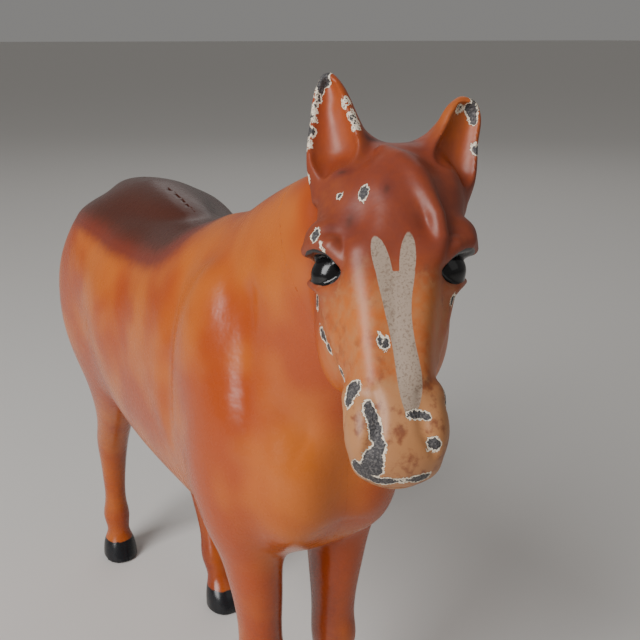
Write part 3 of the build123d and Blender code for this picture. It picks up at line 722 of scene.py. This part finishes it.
def horseEnamel(name):
    # sprayed chestnut enamel over cream primer; knocks have broken it down to the rough casting,
    # so each dark patch is ringed with pale primer and the sound paint around it stays glossy
    material, tree, shader = newMaterial(name)
    colour = {key: toLinear(value) for key, value in paint.items()}
    soft = grain(tree, 0.035, 2.0)
    fine = grain(tree, 0.5, 4.0, 0.6)
    tiny = grain(tree, 2.6, 3.0, 0.6, 0.3)
    base = mixed(tree, step(tree, soft, 0.38, 0.66), colour["enamel"], colour["enamelWarm"])
    mottled = maths(tree, "ADD", attribute(tree, "tone"), swing(tree, fine, 0.35))
    base = mixed(tree, step(tree, mottled, 0.1, 1.0), base, colour["enamelDark"])
    base = mixed(tree, step(tree, mottled, 1.0, 2.0), base, colour["backDark"])
    tan = maths(tree, "ADD", attribute(tree, "tan"), swing(tree, fine, 0.9))
    blotch = grain(tree, 0.28, 4.0, 0.65, 0.6)
    tanColour = mixed(tree, step(tree, blotch, 0.5, 0.68), colour["muzzle"], colour["muzzleDark"])
    base = mixed(tree, maths(tree, "MULTIPLY", step(tree, tan, 0.15, 0.9), 0.9), base, tanColour)
    # hooves and eyes
    ragged = swing(tree, fine, 1.0)
    hoof = step(tree, maths(tree, "ADD", attribute(tree, "hoof"), ragged), 0.25, -0.25)
    base = mixed(tree, hoof, base, colour["hoof"])
    eye = maths(tree, "MULTIPLY_ADD", ragged, 0.5, attribute(tree, "eye"))
    eye = step(tree, eye, 0.12, -0.12)
    base = mixed(tree, eye, base, colour["black"])
    # blaze, brushed on by hand with crisp edges, speckled with what shows through
    blaze = maths(tree, "MULTIPLY_ADD", ragged, 0.2, attribute(tree, "blaze"))
    blaze = step(tree, blaze, 0.06, -0.06)
    speck = maths(tree, "MAXIMUM", step(tree, tiny, 0.5, 0.66), step(tree, fine, 0.56, 0.7))
    blazeColour = mixed(tree, maths(tree, "MULTIPLY", speck, 0.75), colour["blaze"], colour["blazeSpeck"])
    base = mixed(tree, blaze, base, blazeColour)
    # chips
    torn = maths(tree, "ADD", swing(tree, fine, 2.0), swing(tree, tiny, 0.9))
    edge = maths(tree, "ADD", attribute(tree, "chip"), torn)
    loose = maths(tree, "ADD", edge, swing(tree, grain(tree, 0.9, 2.0, 0.5, 0.4), 0.45))
    primer = step(tree, loose, 0.26, 0.18)
    primer = maths(tree, "MULTIPLY", primer, maths(tree, "SUBTRACT", 1.0, eye))
    bare = maths(tree, "MULTIPLY", step(tree, edge, 0.0, -0.08), primer)
    base = mixed(tree, primer, base, colour["cream"])
    metalColour = mixed(tree, step(tree, tiny, 0.4, 0.75), colour["bare"], colour["bareLight"])
    base = mixed(tree, bare, base, metalColour)
    tree.links.new(base, shader.inputs["Base Color"])
    # gloss: enamel high, blaze and primer flat, bare casting rough
    gloss = maths(tree, "MULTIPLY_ADD", fine, 0.16, 0.19)
    gloss = maths(tree, "ADD", attribute(tree, "dull"), gloss)
    gloss = maths(tree, "MAXIMUM", gloss, maths(tree, "MULTIPLY", blaze, 0.5))
    gloss = maths(tree, "MAXIMUM", gloss, maths(tree, "MULTIPLY", primer, 0.6))
    gloss = maths(tree, "MULTIPLY", gloss, maths(tree, "MULTIPLY_ADD", eye, -0.6, 1.0))
    tree.links.new(gloss, shader.inputs["Roughness"])
    tree.links.new(maths(tree, "MULTIPLY", bare, 0.55), shader.inputs["Metallic"])
    # relief: the paint film stands above the primer and the primer above the grainy casting
    height = maths(tree, "MULTIPLY_ADD", grain(tree, 0.3, 2.0, 0.5, 0.8), 0.10, 0.0)
    height = maths(tree, "MULTIPLY_ADD", grain(tree, 1.2, 2.0, 0.5, 0.1), 0.015, height)
    height = maths(tree, "MULTIPLY_ADD", step(tree, loose, 0.3, 0.16), -0.10, height)
    height = maths(tree, "MULTIPLY_ADD", bare, -0.12, height)
    height = maths(tree, "ADD", height, maths(tree, "MULTIPLY", bare, maths(tree, "MULTIPLY", tiny, 0.30)))
    bump = addNode(tree, "ShaderNodeBump", {}, {"Strength": 1.0, "Distance": 0.001, "Height": height})
    tree.links.new(bump.outputs[0], shader.inputs["Normal"])
    return material


def metalMaterial(name, colour, dark, rough, perMm, stretch=(1, 1, 1)):
    material, tree, shader = newMaterial(name)
    place = addNode(tree, "ShaderNodeTexCoord").outputs["Object"]
    place = addNode(tree, "ShaderNodeMapping", {}, {"Vector": place, "Scale": stretch}).outputs[0]
    lines = addNode(tree, "ShaderNodeTexNoise", {}, {
        "Vector": place, "Scale": perMm * 1000, "Detail": 3.0}).outputs[0]
    stain = grain(tree, 0.25, 3.0)
    base = mixed(tree, step(tree, stain, 0.45, 0.72), toLinear(colour), toLinear(dark))
    tree.links.new(base, shader.inputs["Base Color"])
    shader.inputs["Metallic"].default_value = 1.0
    tree.links.new(maths(tree, "MULTIPLY_ADD", lines, 0.2, rough), shader.inputs["Roughness"])
    bump = addNode(tree, "ShaderNodeBump", {}, {"Strength": 0.5, "Distance": 0.00005, "Height": lines})
    tree.links.new(bump.outputs[0], shader.inputs["Normal"])
    return material


enamel = horseEnamel("chestnut_enamel")
metals = {
    # turned steel gone dull in a drawer: fine rings under brown stain
    "screw_steel": metalMaterial("aged_turned_steel", "#8E8A84", "#4F4338", 0.30, 3.0, (1, 6, 6)),
    # drawn wire: lines run along the pin
    "pin_steel": metalMaterial("drawn_wire_steel", "#9A968F", "#5C554C", 0.28, 3.0, (0.2, 3, 3)),
    # sheet drawn into a cup and plated: nearly smooth with cloudy tarnish
    "case_steel": metalMaterial("plated_sheet_steel", "#A5A29B", "#6B655C", 0.26, 1.2),
    "rivet_steel": metalMaterial("hammered_rivet_steel", "#8B8780", "#534B41", 0.38, 1.6),
    # turned brass, handled for years: dull gold with brown in the hollows
    "plug_brass": metalMaterial("dull_turned_brass", "#B08D4E", "#6A4F2A", 0.30, 2.5),
    "cam_steel": metalMaterial("blanked_steel", "#77736D", "#4A453E", 0.36, 2.0),
    "key_steel": metalMaterial("tumbled_key_steel", "#A8A49C", "#6D675E", 0.32, 2.2),
}
print("stage: materials made")


# castings
bodyStep = 0.85
headStep = 0.42
coinSlot = {"halfWide": 2.4, "front": -28, "back": 6, "low": 130, "high": 190}
seam = {"halves": 0.012, "neck": 0.025}   # hairline left along each joint


def slotCut(p):
    low = (-coinSlot["halfWide"], coinSlot["front"] - middleY, coinSlot["low"])
    return -slab(p, low, (coinSlot["halfWide"], coinSlot["back"] - middleY, coinSlot["high"]))


def outerSkin(p):
    return join(bodyOutline(p), headField(p), 8)


def plainPaint(piece, dull, tone):
    # whole paint with no marks
    values = {"chip": farAway, "blaze": farAway, "eye": farAway, "hoof": farAway,
              "tan": 0.0, "dull": dull, "tone": tone}
    for name, value in values.items():
        paintValue(piece, name, np.full(len(piece.data.vertices), value))


def dress(piece, node, body):
    piece.data.materials.append(enamel)
    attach(piece, body)
    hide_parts(node)


def bodyMarks(piece, p):
    for name in ("chip", "blaze", "eye"):
        paintValue(piece, name, np.full(len(p), farAway))
    paintValue(piece, "tan", np.zeros(len(p)))
    paintValue(piece, "dull", np.zeros(len(p)))
    # darker brown was sprayed along the back; below that, painted shade darkens the belly and legs towards the
    # bottom and on the faces between the legs
    along = trunkAt[0](p[:, 1]) + trunkAt[2](p[:, 1])
    spine = fade(p[:, 2] - along, -15, -2) * fade(p[:, 1], -12, 12) * 1.9
    # painted shade: darker towards the bottom and on the inner faces of the legs
    inner = fade(p[:, 2], 96, 60) * (0.25 + 0.35 * fade(np.abs(p[:, 0]), 12, 7))
    paintValue(piece, "tone", np.maximum(spine, inner) + 0.12)
    paintValue(piece, "hoof", p[:, 2] - horse["hoofHeight"])


for side, node in ((-1, "body_right"), (1, "body_left")):
    low = (-32.0, -75, -2) if side < 0 else (-1.5, -75, -2)
    high = (1.5, 112, 186) if side < 0 else (32.0, 112, 186)
    fields = [
        outerSkin,
        lambda p: -hollow(p),
        lambda p, s=side: -s * p[:, 0] + seam["halves"],
        jointPlane,
        slotCut,
        lambda p: -trapSeat(p),
    ]
    points, quads = skinOf(fields, low, high, bodyStep)
    piece = meshPiece(node + "_casting", points, quads)
    bodyMarks(piece, points)
    dress(piece, node, "horse")
    print("stage:", node, len(quads))

headFields = [outerSkin, lambda p: -jointPlane(p) + seam["neck"]]
points, quads = skinOf(headFields, (-38, -152, 130), (32, -40, 214), headStep)
headPiece = meshPiece("head_casting", points, quads)
q = toHead(points)
mirrored = np.stack([q[:, 0], np.abs(q[:, 1] - skullAt[4](q[:, 0])), q[:, 2]], 1)
paintValue(headPiece, "chip", headMarks(q))
paintValue(headPiece, "blaze", blazeMark(q))
paintValue(headPiece, "eye", blob(mirrored, (20.9, 11.6, -5.6), (5.0, 3.0, 5.0), almond))
tan = 0.46 * fade(q[:, 0], 15, 30) + 0.64 * fade(q[:, 0], 41, 49)
paintValue(headPiece, "tan", tan * fade(q[:, 2], -20, -10))
paintValue(headPiece, "dull", 0.04 + 0.13 * fade(q[:, 2], -20, -8))
paintValue(headPiece, "tone", headTone(q))
paintValue(headPiece, "hoof", np.full(len(q), farAway))
dress(headPiece, "head", "horse")
print("stage: head", len(quads))

points, quads = skinOf([tailField], (-9, 96, 58), (9, 122, 142), bodyStep * 0.7)
tailPiece = meshPiece("tail_casting", points, quads)
plainPaint(tailPiece, dull=0.05, tone=1.9)
dress(tailPiece, "tail", "horse")
print("stage: tail", len(quads))

# the two set rivets of the lock
rivets = {"Shank Radius": 0.00088, "Head Radius": 0.0015, "Head Height": 0.0007,
          "Dome Radius": 0.00135, "Dome Height": 0.00055, "Length": 0.003, "Turn Seed": 4}


def rivetTree(material):
    # one rivet is built once and set on every point of the mesh it is given
    tree = bpy.data.node_groups.new("set_rivets", "GeometryNodeTree")
    tree.interface.new_socket("Geometry", in_out="OUTPUT", socket_type="NodeSocketGeometry")
    tree.interface.new_socket("Places", in_out="INPUT", socket_type="NodeSocketGeometry")
    for name, value in rivets.items():
        kind = "NodeSocketInt" if isinstance(value, int) else "NodeSocketFloat"
        tree.interface.new_socket(name, in_out="INPUT", socket_type=kind).default_value = value
    given = addNode(tree, "NodeGroupInput").outputs

    def raised(shape, height):
        lift = addNode(tree, "ShaderNodeCombineXYZ", {}, {"Z": height}).outputs[0]
        return addNode(tree, "GeometryNodeTransform", {}, {"Geometry": shape, "Translation": lift}).outputs[0]

    length, dome = given["Length"], given["Dome Height"]
    head = addNode(tree, "GeometryNodeMeshCylinder", {}, {
        "Vertices": 48, "Radius": given["Head Radius"], "Depth": given["Head Height"]}).outputs[0]
    shank = addNode(tree, "GeometryNodeMeshCylinder", {}, {
        "Vertices": 32, "Radius": given["Shank Radius"], "Depth": length}).outputs[0]
    ball = addNode(tree, "GeometryNodeMeshUVSphere", {}, {
        "Segments": 48, "Rings": 24, "Radius": given["Dome Radius"]}).outputs[0]
    squash = addNode(tree, "ShaderNodeCombineXYZ", {}, {
        "X": 1.0, "Y": 1.0, "Z": maths(tree, "DIVIDE", dome, given["Dome Radius"])}).outputs[0]
    ball = addNode(tree, "GeometryNodeTransform", {}, {"Geometry": ball, "Scale": squash}).outputs[0]
    whole = addNode(tree, "GeometryNodeJoinGeometry")
    for shape in (raised(head, maths(tree, "MULTIPLY", given["Head Height"], 0.5)),
                  raised(shank, maths(tree, "MULTIPLY_ADD", length, 0.5, given["Head Height"])),
                  raised(ball, maths(tree, "ADD", length, given["Head Height"]))):
        tree.links.new(shape, whole.inputs[0])
    random = addNode(tree, "FunctionNodeRandomValue", {"data_type": "FLOAT"}, {"Seed": given["Turn Seed"]})
    turned = maths(tree, "MULTIPLY", random.outputs[1], math.tau)
    spin = addNode(tree, "ShaderNodeCombineXYZ", {}, {"Z": turned}).outputs[0]
    placed = addNode(tree, "GeometryNodeInstanceOnPoints", {}, {
        "Points": given["Places"], "Instance": whole.outputs[0], "Rotation": spin}).outputs[0]
    real = addNode(tree, "GeometryNodeRealizeInstances", {}, {"Geometry": placed}).outputs[0]
    coated = addNode(tree, "GeometryNodeSetMaterial", {}, {"Geometry": real, "Material": material}).outputs[0]
    tree.links.new(coated, addNode(tree, "NodeGroupOutput").inputs[0])
    return tree


corners = {node: np.array([tuple(v.co) for v in frame["nodes"][node].data.vertices])
           for node in ("lock_rivet_right", "lock_rivet_left")}
lows = np.array([c.min(0) for c in corners.values()])
highs = np.array([c.max(0) for c in corners.values()])
places = np.column_stack([(lows + highs)[:, :2] / 2, lows[:, 2]])
rivets["Length"] = float((highs - lows)[:, 2].min() - rivets["Head Height"] - rivets["Dome Height"])
placeMesh = bpy.data.meshes.new("rivet_places")
placeMesh.from_pydata(places.tolist(), [], [])
holder = bpy.data.objects.new("rivet_places", placeMesh)
bpy.context.scene.collection.objects.link(holder)
change = holder.modifiers.new("rivets", "NODES")
change.node_group = rivetTree(metals["rivet_steel"])
for item in change.node_group.interface.items_tree:
    if item.in_out == "INPUT" and item.name in rivets:
        change[item.identifier] = rivets[item.name]
bpy.context.view_layer.update()
rivetMesh = bpy.data.meshes.new_from_object(holder.evaluated_get(bpy.context.evaluated_depsgraph_get()))
holder.modifiers.clear()
bpy.data.objects.remove(holder)
rivetMesh.shade_smooth()
rivetMesh.set_sharp_from_angle(angle=math.radians(35))
rivetPiece = bpy.data.objects.new("lock_rivets", rivetMesh)
bpy.context.scene.collection.objects.link(rivetPiece)
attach(rivetPiece, "trap")
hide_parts("lock_rivet_right", "lock_rivet_left")
print("stage: rivets", len(rivetMesh.polygons))

# the small parts keep their solid-model shapes
slotOf = {s["node"]: s["material_slot"] for s in frame["record"]["subparts"]}
for node, piece in frame["nodes"].items():
    if piece.hide_render:
        continue
    material = metals.get(slotOf.get(node), enamel)
    for place in piece.material_slots:
        place.material = material
    if not piece.material_slots:
        piece.data.materials.append(material)
    if material is enamel:
        plainPaint(piece, dull=0.0, tone=0.2)

# stage
floorMesh = bpy.data.meshes.new("floor")
floorHalf, floorDrop = 40, -0.0003
floorCorners = [(x * floorHalf, y * floorHalf, floorDrop) for x, y in ((-1, -1), (1, -1), (1, 1), (-1, 1))]
floorMesh.from_pydata(floorCorners, [], [(0, 1, 2, 3)])
floor = bpy.data.objects.new("floor", floorMesh)
bpy.context.scene.collection.objects.link(floor)
floorMaterial, tree, shader = newMaterial("pale_paper")
shader.inputs["Base Color"].default_value = toLinear("#D9D6D2")
shader.inputs["Roughness"].default_value = 0.7
floorMesh.materials.append(floorMaterial)


def softBox(name, place, aim, size, power, tint="#FFFFFF"):
    light = bpy.data.lights.new(name, "AREA")
    light.shape = "RECTANGLE"
    light.size, light.size_y = size
    light.energy = power
    light.color = toLinear(tint)[:3]
    holder = bpy.data.objects.new(name, light)
    holder.location = place
    holder.rotation_euler = (Vector(aim) - Vector(place)).to_track_quat("-Z", "Y").to_euler()
    bpy.context.scene.collection.objects.link(holder)


softBox("window", (-0.85, -0.3, 0.7), (0, -0.02, 0.12), (0.55, 0.8), 14)
softBox("room", (0.5, -1.0, 0.9), (0, 0, 0.1), (0.9, 0.9), 0.9)
softBox("back", (0.6, 0.9, 0.9), (0, 0, 0.12), (0.9, 0.9), 1.2)

world = bpy.data.worlds.new("studio")
world.use_nodes = True
world.node_tree.nodes["Background"].inputs[0].default_value = toLinear("#E4E2DF")
world.node_tree.nodes["Background"].inputs[1].default_value = 0.30
bpy.context.scene.world = world

camera = bpy.data.objects.new("camera", bpy.data.cameras.new("camera"))
camera.data.sensor_width = 36
camera.data.lens = 48.2
camera.data.dof.use_dof = False
camera.location = (-0.0874, -0.2189, 0.2114)
azimuth, pitch = math.radians(-28), math.radians(18.3)
camera.rotation_euler = (math.pi / 2 - pitch, 0, azimuth)
camera.data.clip_start = 0.01
bpy.context.scene.collection.objects.link(camera)
bpy.context.scene.camera = camera

print("stage: finished")
